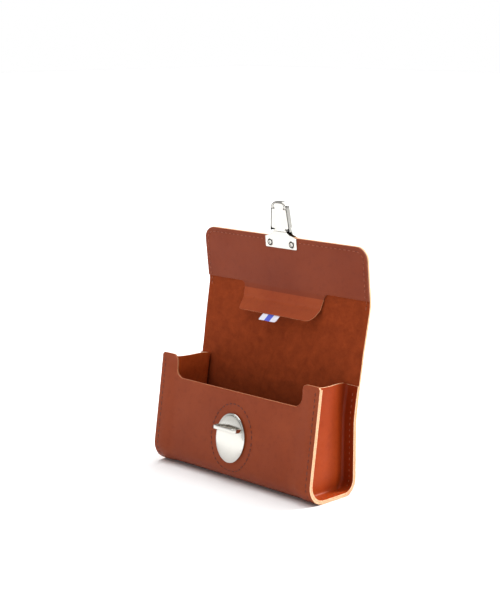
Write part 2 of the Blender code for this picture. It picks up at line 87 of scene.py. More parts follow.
class Surface:
    """A material under construction, with short calls for the nodes that this scene needs."""

    def __init__(self, name, roughness, metallic=0.0, specular=0.5):
        self.material = bpy.data.materials.new(name)
        self.material.use_nodes = True
        self.nodes, self.links = self.material.node_tree.nodes, self.material.node_tree.links
        self.shader = self.nodes["Principled BSDF"]
        self.set("Roughness", roughness)
        self.set("Metallic", metallic)
        self.set("Specular IOR Level", specular)
        self.height = None

    def set(self, socket, value):
        self.shader.inputs[socket].default_value = value

    def link(self, source, socket):
        self.links.new(source, self.shader.inputs[socket])

    def new(self, kind, inputs=(), **settings):
        made = self.nodes.new(kind)
        for key, value in settings.items():
            setattr(made, key, value)
        for key, value in dict(inputs).items():
            self.feed(made.inputs[key], value)
        return made

    def feed(self, socket, value):
        """Gives a node's input either another node's output or a value of its own."""
        if isinstance(value, bpy.types.NodeSocket):
            self.links.new(value, socket)
        else:
            socket.default_value = value

    def flat(self, stretch=(1, 1, 1)):
        """The place in the flat pattern, so that grain stays put when the leather bends."""
        found = self.new("ShaderNodeAttribute", attribute_name="flat").outputs["Vector"]
        return self.new("ShaderNodeVectorMath", {0: found, 1: stretch}, operation="MULTIPLY").outputs[0]

    def noise(self, where, scale, detail=2.0, rough=0.5, distortion=0.0):
        inputs = {"Vector": where, "Scale": scale, "Detail": detail}
        inputs |= {"Roughness": rough, "Distortion": distortion}
        return self.new("ShaderNodeTexNoise", inputs).outputs["Fac"]

    def cells(self, where, scale):
        """The distance to the nearest of many scattered points."""
        return self.new("ShaderNodeTexVoronoi", {"Vector": where, "Scale": scale}).outputs["Distance"]

    def ramp(self, value, low, high, to_low=0.0, to_high=1.0):
        inputs = {"Value": value, "From Min": low, "From Max": high, "To Min": to_low, "To Max": to_high}
        return self.new("ShaderNodeMapRange", inputs).outputs["Result"]

    def mix(self, share, first, second):
        """A share of 0 gives the first colour and 1 the second. Each is a tuple or another node's output."""
        made = self.new("ShaderNodeMix", {"Factor": share}, data_type="RGBA")
        sockets = [socket for socket in made.inputs if socket.type == "RGBA"]
        for socket, colour in zip(sockets, (first, second)):
            self.feed(socket, (*colour, 1) if isinstance(colour, tuple) else colour)
        return next(socket for socket in made.outputs if socket.type == "RGBA")

    def math(self, operation, first, second):
        return self.new("ShaderNodeMath", {0: first, 1: second}, operation=operation).outputs[0]

    def bump(self, height, distance, strength=1.0):
        """Adds a layer of relief over those before it."""
        inputs = {"Height": height, "Distance": distance, "Strength": strength}
        if self.height is not None:
            inputs["Normal"] = self.height
        self.height = self.new("ShaderNodeBump", inputs).outputs["Normal"]
        self.link(self.height, "Normal")


def grain_leather(name, light, dark, deep, roughness, coat=0.04, painted_shade_depths=None):
    """Waxed smooth-grain leather: cloudy dye, fine pores, faint creases and a soft waxy coat.

    Given two depths along the flat place's Y, the colour deepens towards deep between them and stays darkened
    past them: painted shade.
    """
    made = Surface(name, roughness, specular=0.09)
    where = made.flat()
    clouds = made.ramp(made.noise(where, 20, 3, 0.55, 0.3), 0.25, 0.75)
    colour = made.mix(clouds, dark, light)
    mottle = made.ramp(made.noise(where, 230, 5, 0.65), 0.52, 0.8, 0, 0.28)
    colour = made.mix(mottle, colour, deep)
    if painted_shade_depths:
        # Painted shade: past these depths the colour deepens where the back of a gusset's floor and its back
        # flange lie in shade.
        depth = made.new("ShaderNodeSeparateXYZ", {0: where}).outputs["Y"]
        colour = made.mix(made.ramp(depth, *painted_shade_depths, 0.0, 0.75), colour, deep)
    pores = made.cells(where, 1500)
    colour = made.mix(made.ramp(pores, 0.0, 0.35, 0.30, 0.0), colour, deep)
    made.link(colour, "Base Color")
    wax = made.ramp(made.noise(where, 60, 5, 0.7), 0.3, 0.75, roughness - 0.07, roughness + 0.10)
    made.link(wax, "Roughness")
    made.bump(made.noise(where, 38, 3, 0.5), 0.9 * MM, 0.35)
    made.bump(made.noise(made.flat((1, 0.4, 1)), 420, 4, 0.6, 0.5), 0.10 * MM, 0.5)
    made.bump(pores, 0.07 * MM, 0.7)
    made.set("Coat Weight", coat)
    made.set("Coat Roughness", 0.32)
    return made.material


def flesh_leather(name, light, dark):
    """The matt, fibrous inner side."""
    made = Surface(name, 0.86, specular=0.06)
    where = made.flat()
    clouds = made.ramp(made.noise(where, 120, 6, 0.72, 0.4), 0.22, 0.78)
    colour = made.mix(clouds, dark, light)
    fibres = made.noise(made.flat((1.6, 1, 1)), 900, 6, 0.75, 1.2)
    colour = made.mix(made.ramp(fibres, 0.45, 0.72, 0, 0.35), colour, light)
    colour = made.mix(made.ramp(made.cells(where, 620), 0, 0.5, 0.25, 0), colour, dark)
    made.link(colour, "Base Color")
    made.bump(made.noise(where, 240, 5, 0.7), 0.22 * MM, 0.6)
    made.bump(fibres, 0.12 * MM, 0.9)
    made.set("Sheen Weight", 0.05)
    made.set("Sheen Roughness", 0.5)
    made.set("Sheen Tint", (*linear(255, 190, 140), 1))
    return made.material


def raw_edge(name, light, dark):
    """The cut, lightly burnished edge, which stayed pale: fibres run along it."""
    made = Surface(name, 0.55)
    where = made.flat()
    streaks = made.noise(made.flat((0.35, 0.35, 2.5)), 900, 4, 0.7)
    colour = made.mix(made.ramp(streaks, 0.35, 0.7), dark, light)
    worn = made.ramp(made.noise(where, 75, 4, 0.6), 0.56, 0.75, 0, 0.4)
    colour = made.mix(worn, colour, dark)
    made.link(colour, "Base Color")
    made.bump(streaks, 0.10 * MM, 0.8)
    return made.material


def thread(name, colour, shade):
    made = Surface(name, 0.6)
    where = made.new("ShaderNodeTexCoord").outputs["Object"]
    strands = made.noise(where, 2600, 3, 0.6)
    made.link(made.mix(made.ramp(strands, 0.35, 0.65), shade, colour), "Base Color")
    made.bump(strands, 0.08 * MM, 0.8)
    return made.material


def nickel(name, colour, roughness):
    """Nickel plate with a thin haze of handling marks."""
    made = Surface(name, roughness, 1.0)
    where = made.new("ShaderNodeTexCoord").outputs["Object"]
    haze = made.noise(where, 130, 5, 0.65, 0.3)
    dull = tuple(0.94 * c for c in colour)
    made.link(made.mix(made.ramp(haze, 0.35, 0.7), dull, colour), "Base Color")
    made.link(made.ramp(haze, 0.3, 0.8, roughness, roughness + 0.09), "Roughness")
    made.bump(made.noise(where, 900, 3, 0.6), 0.01 * MM, 0.4)
    return made.material


def woven_ribbon(name, ground, stripe, half_stripe):
    """A woven ribbon with one wide stripe along it."""
    made = Surface(name, 0.75)
    place = made.new("ShaderNodeSeparateXYZ", {0: made.flat()}).outputs
    across = made.math("ABSOLUTE", place["X"], 0.0)
    blur = 0.2 * MM
    edge = made.ramp(across, half_stripe - blur, half_stripe + blur)
    weft = made.new("ShaderNodeTexWave", {"Vector": made.flat(), "Scale": 420.0}, bands_direction="Y")
    warp = made.new("ShaderNodeTexWave", {"Vector": made.flat(), "Scale": 300.0}, bands_direction="X")
    weave = made.math("MAXIMUM", weft.outputs["Fac"], warp.outputs["Fac"])
    colour = made.mix(edge, stripe, ground)
    shaded = made.mix(made.ramp(weave, 0.5, 1.0, 0.30, 0.0), colour, tuple(c * 0.6 for c in stripe))
    made.link(shaded, "Base Color")
    made.bump(weave, 0.12 * MM, 0.7)
    made.set("Sheen Weight", 0.2)
    return made.material


def stitch_hole_painted_shade():
    # Flat dark discs for the stitch holes: painted shade where the thread goes in.
    made = Surface("stitch_hole_painted_shade", 0.9)
    made.link(made.mix(made.noise(made.flat(), 700), linear(58, 20, 10), linear(40, 12, 6)), "Base Color")
    return made.material


GRAIN_DYE = (linear(137, 61, 31), linear(123, 51, 24), linear(84, 28, 11))
GUSSET_DYE = (linear(172, 68, 24), linear(156, 56, 16), linear(92, 20, 3))
LINING_DYE = (linear(127, 56, 31), linear(115, 47, 25), linear(82, 30, 14))
# The tongue's tones are lighter than the lining's: painted light, for the light that its forward-kicked face
# catches.
TONGUE_PAINTED_LIGHT_TONES = (linear(152, 70, 37), linear(138, 58, 29), linear(92, 34, 15))
GRAIN = grain_leather("grain", *GRAIN_DYE, 0.40)
# The gusset's grain deepens from 15 to 23 mm deep: painted shade on the back of its floor and on its back
# flange.
GUSSET_GRAIN = grain_leather("gusset_grain", *GUSSET_DYE, 0.40, painted_shade_depths=(15 * MM, 23 * MM))
LINING_GRAIN = grain_leather("lining_grain", *LINING_DYE, 0.45)
TONGUE_GRAIN_PAINTED_LIGHT = grain_leather("tongue_grain_painted_light", *TONGUE_PAINTED_LIGHT_TONES, 0.42, coat=0.05)
FLESH = flesh_leather("flesh", linear(143, 60, 27), linear(105, 39, 14))
GUSSET_FLESH = flesh_leather("gusset_flesh", linear(196, 88, 38), linear(158, 62, 24))
EDGE = raw_edge("raw_edge", linear(250, 206, 166), linear(226, 160, 112))
BURNISHED = raw_edge("burnished_edge", linear(204, 132, 88), linear(156, 84, 48))
# A darkened edge: painted shade, for the shadow line along the lining's lower edge.
EDGE_PAINTED_SHADE = raw_edge("edge_painted_shade", linear(150, 76, 42), linear(104, 46, 24))
THREAD_DARK = thread("thread_brown", linear(92, 34, 17), linear(60, 20, 9))
THREAD_LIGHT = thread("thread_tan", linear(160, 76, 38), linear(116, 48, 22))
HOLE_PAINTED_SHADE = stitch_hole_painted_shade()
NICKEL = nickel("nickel", (0.60, 0.585, 0.545), 0.12)
# Near-black nickel: painted shade, inside the hasp's hollow shell and in the rings round the rivets.
NICKEL_PAINTED_SHADE = nickel("nickel_painted_shade", (0.045, 0.04, 0.035), 0.45)
STEEL = nickel("dull_steel", (0.52, 0.51, 0.48), 0.30)
RIBBON = woven_ribbon("ribbon", linear(236, 238, 246), linear(66, 84, 204), half_stripe=3.1 * MM)


# Flat outlines --------------------------


def rounded(corners, closed=False, steps=8):
    """The points of a path through corners (u, v, radius), with an arc of that radius at each corner."""
    points = []
    count = len(corners)
    for i, (u, v, radius) in enumerate(corners):
        here = Vector((u, v))
        if radius == 0 or (not closed and i in (0, count - 1)):
            points.append(here)
            continue
        back = (Vector(corners[i - 1][:2]) - here).normalized()
        on = (Vector(corners[(i + 1) % count][:2]) - here).normalized()
        half = back.angle(on) / 2
        centre = here + (back + on).normalized() * radius / sin(half)
        first = here + back * radius / tan(half) - centre
        turn = first.angle_signed(here + on * radius / tan(half) - centre)
        for k in range(steps + 1):
            points.append(centre + Matrix.Rotation(-turn * k / steps, 2) @ first)
    return points


def mirrored(right, **settings):
    """A closed, rounded outline from the corners (u, v, radius) along its right side, in order."""
    left = [(-u, v, radius) for u, v, radius in reversed(right)]
    return rounded(right + left, closed=True, **settings)


def curve_through(knots, step):
    """A Catmull-Rom curve through the knots, with points about step apart."""
    ends = [2 * knots[0] - knots[1]] + knots + [2 * knots[-1] - knots[-2]]
    points = []
    for a, b, c, d in zip(ends, ends[1:], ends[2:], ends[3:]):
        count = max(1, round((c - b).length / step))
        for k in range(count):
            t = k / count
            first = (2 * b + (c - a) * t + (2 * a - 5 * b + 4 * c - d) * t**2) / 2
            points.append(first + (3 * b - a - 3 * c + d) * t**3 / 2)
    return points + [knots[-1]]


def ellipse(half_width, half_height, steps=72):
    angles = [2 * pi * k / steps for k in range(steps)]
    return [Vector((half_width * cos(a), half_height * sin(a))) for a in angles]


def inset_outline(outline, cut, distance):
    """The closed outline drawn in by distance. A cut edge stays put and its end corners slide on it."""
    count = len(outline)
    area = sum(outline[i - 1].cross(outline[i]) for i in range(count))
    sign = 1 if area > 0 else -1
    inward = []
    for i in range(count):
        along = (outline[(i + 1) % count] - outline[i]).normalized()
        inward.append(Vector((-along.y, along.x)) * sign)
    moved = []
    for i, point in enumerate(outline):
        before, after = inward[i - 1], inward[i]
        if cut[i - 1] and cut[i]:
            moved.append(point.copy())
        elif cut[i - 1] or cut[i]:
            free = after if cut[i - 1] else before
            held = before if cut[i - 1] else after
            slide = Vector((held.y, -held.x))
            moved.append(point + slide * distance / slide.dot(free))
        else:
            both = before + after
            moved.append(point + both * distance / (1 + before.dot(after)))
    return moved


def rolled_rings(half, radius, steps=3, flat_margin=0.2 * MM):
    """(inset, height) of a slab's edge, rounded by radius on both sides, from its outer face to its inner."""
    angles = [pi / 2 * k / steps for k in range(steps + 1)]
    upper = [(radius + flat_margin, half)]
    upper += [(radius * (1 - sin(a)), half - radius * (1 - cos(a))) for a in angles]
    return upper + [(inset, -height) for inset, height in reversed(upper)]


# Meshes ---------------------------------


SAME_PLACE = 0.001 * MM
FACE_ON = 0.75  # a normal's share along the thickness from which a face counts as a side, not the edge


def finish_mesh(name, bm, materials, body, sharp=38):
    """The object of a finished bmesh, which rides on a body. Body None leaves it free."""
    mesh = bpy.data.meshes.new(name)
    bm.to_mesh(mesh)
    bm.free()
    for material in materials:
        mesh.materials.append(material)
    mesh.shade_smooth()
    mesh.set_sharp_from_angle(angle=radians(sharp))
    made = bpy.data.objects.new(name, mesh)
    bpy.context.scene.collection.objects.link(made)
    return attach(made, body) if body else made


def cut_at(*places):
    """A test for the edges along which a piece is cut from its neighbour, so that they stay square."""
    return lambda point: min(abs(point.y - place) for place in places) < SAME_PLACE


def ring_solid(outline, rings, is_cut=None):
    """A bmesh of a closed solid, still flat, whose edge runs through rings of (inset, height)."""
    count = len(outline)
    middles = [(outline[i] + outline[(i + 1) % count]) / 2 for i in range(count)]
    cut = [bool(is_cut and is_cut(middle)) for middle in middles]
    bm = bmesh.new()
    layers = []
    for inset, height in rings:
        layers.append([bm.verts.new((p.x, p.y, height)) for p in inset_outline(outline, cut, inset)])
    bm.faces.new(layers[0])
    bm.faces.new(list(reversed(layers[-1])))
    for i in range(count):
        j = (i + 1) % count
        if cut[i]:
            bm.faces.new([ring[j] for ring in layers] + [ring[i] for ring in reversed(layers)])
            continue
        for upper, lower in zip(layers, layers[1:]):
            bm.faces.new((upper[i], lower[i], lower[j], upper[j]))
    bmesh.ops.recalc_face_normals(bm, faces=bm.faces)
    return bm


def tube(bm, rings):
    """Faces along closed rings of as many points each, and a cap at either end."""
    for a, b in zip(rings, rings[1:]):
        for i in range(len(a)):
            bm.faces.new((a[i - 1], a[i], b[i], b[i - 1]))
    bm.faces.new(list(reversed(rings[0])))
    bm.faces.new(rings[-1])


def slice_mesh(bm, axis, places):
    """Adds edges where the planes across an axis, X, Y or Z, cut the mesh at those places."""
    normal = Vector([float(axis == name) for name in "XYZ"])
    for place in places:
        geometry = bm.verts[:] + bm.edges[:] + bm.faces[:]
        bmesh.ops.bisect_plane(bm, geom=geometry, plane_co=normal * place, plane_no=normal, dist=1e-7)


def keep_flat_place(bm):
    """Stores where each point is now, for the materials."""
    flat = bm.verts.layers.float_vector.new("flat")
    for vert in bm.verts:
        vert[flat] = vert.co


def bend(bm, place):
    """Moves a flat piece to place(across, along, height). Materials: 0 outside, 1 inside, 2 on the edge."""
    for face in bm.faces:
        face.material_index = 0 if face.normal.z > FACE_ON else 1 if face.normal.z < -FACE_ON else 2
    keep_flat_place(bm)
    for vert in bm.verts:
        vert.co = place(*vert.co)
    bmesh.ops.recalc_face_normals(bm, faces=bm.faces)


def spaced(low, high, step):
    """Evenly spaced places between low and high, without them, about step apart."""
    count = max(1, round((high - low) / step))
    return [low + (high - low) * k / count for k in range(1, count)]


def ease(value, low, high):
    """0 up to low, 1 from high on, and a smooth rise between them."""
    t = min(1.0, max(0.0, (value - low) / (high - low)))
    return t * t * (3 - 2 * t)


def hump(distance, reach):
    """1 at no distance, falling away smoothly on both sides."""
    return exp(-((distance / reach) ** 2))


# The strip's profile --------------------


class Profile:
    """The middle of the strip's thickness seen from the end, as points (depth, height) by length along it."""

    def __init__(self, points):
        self.points = points
        self.lengths = [0.0]
        for a, b in zip(points, points[1:]):
            self.lengths.append(self.lengths[-1] + (b - a).length)
        steps = [(b - a).normalized() for a, b in zip(points, points[1:])]
        self.tangents = [steps[0]] + [(a + b).normalized() for a, b in zip(steps, steps[1:])] + [steps[-1]]
        self.length = self.lengths[-1]

    def at(self, along):
        """The point, and the normal that faces out of the case."""
        if along <= 0:
            tangent = self.tangents[0]
            return self.points[0] + tangent * along, Vector((tangent.y, -tangent.x))
        high = min(bisect_right(self.lengths, along), len(self.lengths) - 1)
        low = high - 1
        share = (along - self.lengths[low]) / (self.lengths[high] - self.lengths[low])
        tangent = self.tangents[low].lerp(self.tangents[high], share).normalized()
        return self.points[low].lerp(self.points[high], share), Vector((tangent.y, -tangent.x))

    def where(self, height):
        """The length at which the profile reaches that height on its way up the back."""
        for a, b, start in zip(self.points, self.points[1:], self.lengths):
            if a.y <= height < b.y:
                return start + (b - a).length * (height - a.y) / (b.y - a.y)
        return self.length


def strip_profile():
    """Straight sides and round corners up to the back's straight foot, then a curve through the folds."""
    foot_top = 46 * MM
    outer = rounded(
        [
            (FRONT_TOP_Y, SHOULDER_TOP, 0),
            (FRONT_FOOT_Y, 0, FRONT_RADIUS),
            (BACK_FOOT_Y, 0, BACK_RADIUS),
            (BACK_FOOT_Y, foot_top, 0),
        ],
        steps=16,
    )
    body = []
    for i, point in enumerate(outer):
        before = point - outer[i - 1] if i else outer[1] - point
        after = outer[i + 1] - point if i < len(outer) - 1 else before
        along = (before.normalized() + after.normalized()).normalized()
        body.append(point + Vector((-along.y, along.x)) * STRIP / 2)
    knots = [(25.3, 51), (25.45, 58), (26.45, 67), (28.05, 77), (29.75, 87), (31.43, 96.8), (33.25, 109)]
    knots += [(35.35, 121), (37.45, 133), (39.1, 142), (39.62, 146), (39.66, 149.6), (39.28, 153.2)]
    knots += [(38.4, 161.5), (37.15, 173.5), (36.0, 185), (35.41, 192.12)]
    back = curve_through([body[-1]] + [Vector(k) * MM for k in knots], step=1.2 * MM)
    return Profile(body + back[1:])


PROFILE = strip_profile()
TIP = PROFILE.length
BACK_FOLD = PROFILE.where(96.8 * MM)
FRONT_FOLD = PROFILE.where(149.345 * MM)
BACK_SPLIT = PROFILE.where(86 * MM)
TOP_SPLIT = PROFILE.where(124 * MM)
LOCK_ALONG = (SHOULDER_TOP - LOCK_HEIGHT) / cos(FRONT_LEAN)
# How far to each side of its line a fold reaches
BACK_FOLD_REACH = 5.0 * MM
FRONT_FOLD_REACH = 4.2 * MM


def flare(along):
    """The flap is a little wider than the case."""
    return 1 + (FLAP_HALF_WIDTH / HALF_WIDTH - 1) * ease(along, BACK_SPLIT, FRONT_FOLD)


def drape(across, along):
    """How far the strip stands off its plain profile. It lies flat at its free edges and round the lock."""
    on_body = 1 - ease(along, BACK_SPLIT - 12 * MM, BACK_SPLIT)
    between_flanges = 1 - ease(abs(across), 70.5 * MM, 76.5 * MM)
    sunk = -0.9 * MM * on_body * between_flanges
    wave = 0.35 * MM * noise.noise(Vector((across * 11, along * 13, 4.2)))
    foot_corner = 0.8 * MM * hump(abs(across) - 75 * MM, 6 * MM) * hump(along - 79 * MM, 7 * MM)
    by_lock = 0.85 * hump(across, 30 * MM)
    off_edges = ease(along, 0, 9 * MM) * (1 - ease(along, TIP - 16 * MM, TIP - 6 * MM))
    return off_edges * (sunk + (wave + foot_corner) * (1 - by_lock))


def on_strip(across, along, height):
    """A place on the strip, at a height above the middle of its thickness."""
    point, normal = PROFILE.at(along)
    place = point + normal * (height + drape(across, along))
    return Vector((across * flare(along), place.x, place.y))


def fold_point(along):
    point, _ = PROFILE.at(along)
    return (0, point.x, point.y)


def bend_at_back_fold(made):
    ends = [fold_point(BACK_FOLD + side * BACK_FOLD_REACH) for side in (-1, 1)]
    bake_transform(made)


def bend_at_front_fold(made):
    ends = [fold_point(FRONT_FOLD + side * FRONT_FOLD_REACH) for side in (-1, 1)]
    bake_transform(made)


def strip_piece(name, outline, low, high, is_cut, body):
    """A stretch of the strip, from low to high along it, finely cut near the folds so that it bends round."""
    bm = ring_solid(outline, rolled_rings(STRIP / 2, 0.42 * MM), is_cut)
    slice_mesh(bm, "Y", spaced(low, high, 2.0 * MM))
    for fold, reach in ((FRONT_FOLD, 9 * MM), (BACK_FOLD, 7 * MM)):
        slice_mesh(bm, "Y", [a for a in spaced(fold - reach, fold + reach, 0.9 * MM) if low < a < high])
    slice_mesh(bm, "X", spaced(-HALF_WIDTH, HALF_WIDTH, 5.5 * MM))
    handled = []
    for face in bm.faces:
        middle = face.calc_center_median()
        at_front_top = middle.y < 20 * MM and abs(middle.x) < HALF_WIDTH - 1.5 * MM
        if at_front_top and abs(face.normal.z) < FACE_ON:
            handled.append(face)
    bend(bm, on_strip)
    for face in handled:
        face.material_index = 3
    return finish_mesh(name, bm, (GRAIN, FLESH, EDGE, BURNISHED), body)


def strip_body():
    outline = mirrored(
        [
            (HALF_WIDTH, BACK_SPLIT, 0),
            (HALF_WIDTH, 0, 3.0 * MM),
            (CUTOUT_HALF, 0, 5.0 * MM),
            (CUTOUT_HALF, CUTOUT_DEPTH, 7.5 * MM),
        ]
    )
    made = strip_piece("strip_body", outline, 0, BACK_SPLIT, cut_at(BACK_SPLIT), "case")
    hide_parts("main_panel")


def strip_flap():
    outline = mirrored([(HALF_WIDTH, BACK_SPLIT, 0), (HALF_WIDTH, TOP_SPLIT, 0)])
    made = strip_piece("strip_flap_top", outline, BACK_SPLIT, TOP_SPLIT, cut_at(BACK_SPLIT, TOP_SPLIT), None)
    bend_at_back_fold(made)
    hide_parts("flap_top")

    outline = mirrored([(HALF_WIDTH, TOP_SPLIT, 0), (HALF_WIDTH, TIP, 10 * MM)])
    made = strip_piece("strip_flap_front", outline, TOP_SPLIT, TIP, cut_at(TOP_SPLIT), None)
    bend_at_front_fold(made)
    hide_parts("flap_front")


# Lining, its tongue and the ribbon ------

LINING_MIDDLE = -(STRIP + LINING) / 2 - TOUCH
TONGUE_LEFT, TONGUE_RIGHT = -44.5 * MM, 42.0 * MM
TONGUE_DRAW_IN = 2.2 * MM
TONGUE_FOOT = FRONT_FOLD - 22.8 * MM
TONGUE_CREASE = 12.5 * MM
TONGUE_SLOPE, KICK_SLOPE = 0.11, 0.42
LINING_HALF_WIDTH = HALF_WIDTH - 0.25 * MM
LINING_FOOT = FRONT_FOLD + 0.8 * MM
LINING_TIP = TIP - 0.2 * MM
LINING_SPLIT = FRONT_FOLD - FRONT_FOLD_REACH
LINING_ROLL = 0.3 * MM


def stand_off(along):
    """The tongue leaves the flap slowly, and below its crease it kicks forward."""
    below = max(0.0, FRONT_FOLD - along)
    past = max(0.0, below - TONGUE_CREASE)
    groove = 0.30 * MM * hump(below - TONGUE_CREASE, 1.3 * MM)
    return TONGUE_SLOPE * below + KICK_SLOPE * past * ease(past, -2 * MM, 5 * MM) - groove


def on_tongue(across, along, height):
    """As on_strip, but stood off where the tongue is, with a slow wave across."""
    lift = 0.35 * MM * ease(FRONT_FOLD - along, 4 * MM, 20 * MM) * sin(across * 60 + 0.8)
    return on_strip(across, along, height - stand_off(along) + lift)


def lining():
    left = [
        (-LINING_HALF_WIDTH, LINING_FOOT, 0.8 * MM),
        (TONGUE_LEFT, LINING_FOOT, 4.4 * MM),
        (TONGUE_LEFT, LINING_SPLIT, 0),
    ]
    right = [
        (TONGUE_RIGHT, LINING_SPLIT, 0),
        (TONGUE_RIGHT, LINING_FOOT, 4.8 * MM),
        (LINING_HALF_WIDTH, LINING_FOOT, 0.8 * MM),
    ]
    top = [(LINING_HALF_WIDTH, LINING_TIP, 9.9 * MM), (-LINING_HALF_WIDTH, LINING_TIP, 9.9 * MM)]
    outline = rounded(left + right + top, closed=True)
    bm = ring_solid(outline, rolled_rings(LINING / 2, LINING_ROLL), cut_at(LINING_SPLIT))
    past_fold = LINING_SPLIT + 14 * MM
    slice_mesh(bm, "Y", spaced(LINING_SPLIT, past_fold, 0.9 * MM))
    slice_mesh(bm, "Y", spaced(past_fold, TIP, 2.4 * MM))
    slice_mesh(bm, "X", spaced(-LINING_HALF_WIDTH, LINING_HALF_WIDTH, 5.5 * MM))
    bend(bm, lambda across, along, height: on_tongue(across, along, LINING_MIDDLE + height))
    # The lining's cut edge takes the darkened edge colour: painted shade along its foot.
    made = finish_mesh("lining_upper", bm, (FLESH, LINING_GRAIN, EDGE_PAINTED_SHADE), None)
    bend_at_front_fold(made)
    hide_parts("facing")


def lining_tongue():
    """It is a little narrower at its foot, and rounder on the right."""
    outline = rounded(
        [
            (TONGUE_LEFT + TONGUE_DRAW_IN, TONGUE_FOOT, 2.6 * MM),
            (TONGUE_RIGHT - 1.6 * TONGUE_DRAW_IN, TONGUE_FOOT, 9.5 * MM),
            (TONGUE_RIGHT, LINING_SPLIT, 0),
            (TONGUE_LEFT, LINING_SPLIT, 0),
        ],
        closed=True,
    )
    bm = ring_solid(outline, rolled_rings(LINING / 2, LINING_ROLL), cut_at(LINING_SPLIT))
    slice_mesh(bm, "Y", spaced(TONGUE_FOOT, LINING_SPLIT, 1.2 * MM))
    slice_mesh(bm, "X", spaced(TONGUE_LEFT, TONGUE_RIGHT, 3.5 * MM))
    bend(bm, lambda across, along, height: on_tongue(across, along, LINING_MIDDLE + height))
    # The tongue's grain is lightened: painted light on its kicked face.
    made = finish_mesh("lining_tongue", bm, (FLESH, TONGUE_GRAIN_PAINTED_LIGHT, BURNISHED), None)
    start, end = fold_point(LINING_SPLIT), fold_point(LINING_SPLIT - 5 * MM)
    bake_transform(made)
    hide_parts("facing_tongue")


RIBBON_MIDDLE = -6.0 * MM
RIBBON_HALF, RIBBON_LENGTH, RIBBON_THICK = 9.0 * MM, 12.5 * MM, 0.35 * MM
RIBBON_HIDDEN = 5.5 * MM


def ribbon():
    """A short woven tab, sewn behind the tongue's lower edge, from where it leans forward and sags."""
    forward_share, down_share = 0.85, 0.62
    outline = mirrored([(RIBBON_HALF, 0, 1.3 * MM), (RIBBON_HALF, RIBBON_LENGTH, 0)])
    bm = ring_solid(outline, rolled_rings(RIBBON_THICK / 2, 0.12 * MM))
    slice_mesh(bm, "Y", spaced(0, RIBBON_LENGTH, 0.7 * MM))
    slice_mesh(bm, "X", spaced(-RIBBON_HALF, RIBBON_HALF, 1.6 * MM))
    behind_tongue = LINING_MIDDLE + LINING / 2 + RIBBON_THICK / 2 + TOUCH

    def place(across, up, height):
        free = RIBBON_LENGTH - RIBBON_HIDDEN - up
        along = max(TONGUE_FOOT - free, TONGUE_FOOT)
        free = max(0.0, free)
        ripple = 0.25 * MM * sin(across * 500) * ease(free, 0, 5 * MM)
        point = on_tongue(across + RIBBON_MIDDLE, along, behind_tongue + height)
        return point + Vector((0, -forward_share * free - ripple, -down_share * free))

    bend(bm, place)
    made = finish_mesh("ribbon_tab", bm, (RIBBON, RIBBON, RIBBON), "tongue", sharp=60)
    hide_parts("ribbon_label")


# Gussets --------------------------------

GUSSET_LEVEL = -(STRIP + GUSSET) / 2 - TOUCH
GUSSET_RIM = HALF_WIDTH - 0.15 * MM
GUSSET_BEND = 3.2 * MM
GUSSET_START = 2.0 * MM
GUSSET_TOP = 86 * MM
GUSSET_MIDDLE_Y, GUSSET_HALF_DEPTH = 3 * MM, 19 * MM


def slumped(point, side):
    """A gusset's point after wear: the floor bellies out, and the top edge dips in the middle and behind."""
    x, y, z = point
    on_floor = ease(GUSSET_RIM - abs(x), 4 * MM, 11.5 * MM)
    off_middle = (y - GUSSET_MIDDLE_Y) / GUSSET_HALF_DEPTH
    belly = 1.3 * MM * on_floor * max(0.0, 1 - off_middle**2) * ease(z, 5 * MM, 22 * MM)
    near_top = ease(z, 55 * MM, GUSSET_TOP)
    dip = 0.9 * MM * on_floor * near_top * (1 - ease(abs(y + 1 * MM), 3 * MM, GUSSET_HALF_DEPTH))
    drop = 1.2 * MM * ease(y, 22 * MM, 29 * MM) * ease(z, 60 * MM, GUSSET_TOP)
    return Vector((x + side * belly, y, z - dip - drop))


def gusset_section():
    """(inward, across) of each point from the tray's rim round its bend to its floor."""
    knee = FLOOR_X + GUSSET_BEND
    section = [(0, GUSSET_RIM), (0, (GUSSET_RIM + knee) / 2), (0, knee)]
    for k in range(1, 8):
        angle = pi / 2 * k / 7
        section.append((GUSSET_BEND * (1 - cos(angle)), FLOOR_X + GUSSET_BEND * (1 - sin(angle))))
    return section


def gusset(name, side, node):
    """A wet-moulded tray. Its rim lies nearly flush with the strip's edge."""
    end = PROFILE.where(GUSSET_TOP)
    stations = [GUSSET_START] + spaced(GUSSET_START, end, 2.4 * MM) + [end]
    bm = bmesh.new()
    rings = []
    for inward, across in gusset_section():
        ring = []
        for along in stations:
            point, normal = PROFILE.at(along)
            place = point + normal * (GUSSET_LEVEL - inward)
            ring.append(bm.verts.new((side * across, place.x, place.y)))
        rings.append(ring)
    for outer, inner in zip(rings, rings[1:]):
        for i in range(len(outer) - 1):
            bm.faces.new((outer[i], outer[i + 1], inner[i + 1], inner[i]))
    bm.faces.new(rings[-1])
    slice_mesh(bm, "Z", spaced(3 * MM, 91 * MM, 4.4 * MM))
    slice_mesh(bm, "Y", spaced(-22 * MM, 27 * MM, 3.5 * MM))
    for vert in bm.verts:
        vert.co = slumped(vert.co, side)
    bmesh.ops.recalc_face_normals(bm, faces=bm.faces)
    if sum(face.normal.x * face.calc_area() for face in bm.faces) * side < 0:
        bmesh.ops.reverse_faces(bm, faces=bm.faces)
    keep_flat_place(bm)
    made = finish_mesh(name, bm, (GUSSET_GRAIN, GUSSET_FLESH, EDGE), "case", sharp=50)
    skin = made.modifiers.new("leather", "SOLIDIFY")
    skin.thickness = GUSSET
    skin.offset = 0
    skin.use_even_offset = True
    skin.material_offset = 1
    skin.material_offset_rim = 2
    roll = made.modifiers.new("rolled_edge", "BEVEL")
    roll.width = 0.3 * MM
    roll.segments = 2
    roll.limit_method = "ANGLE"
    roll.angle_limit = radians(60)
    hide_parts(node)


# Stitching ------------------------------


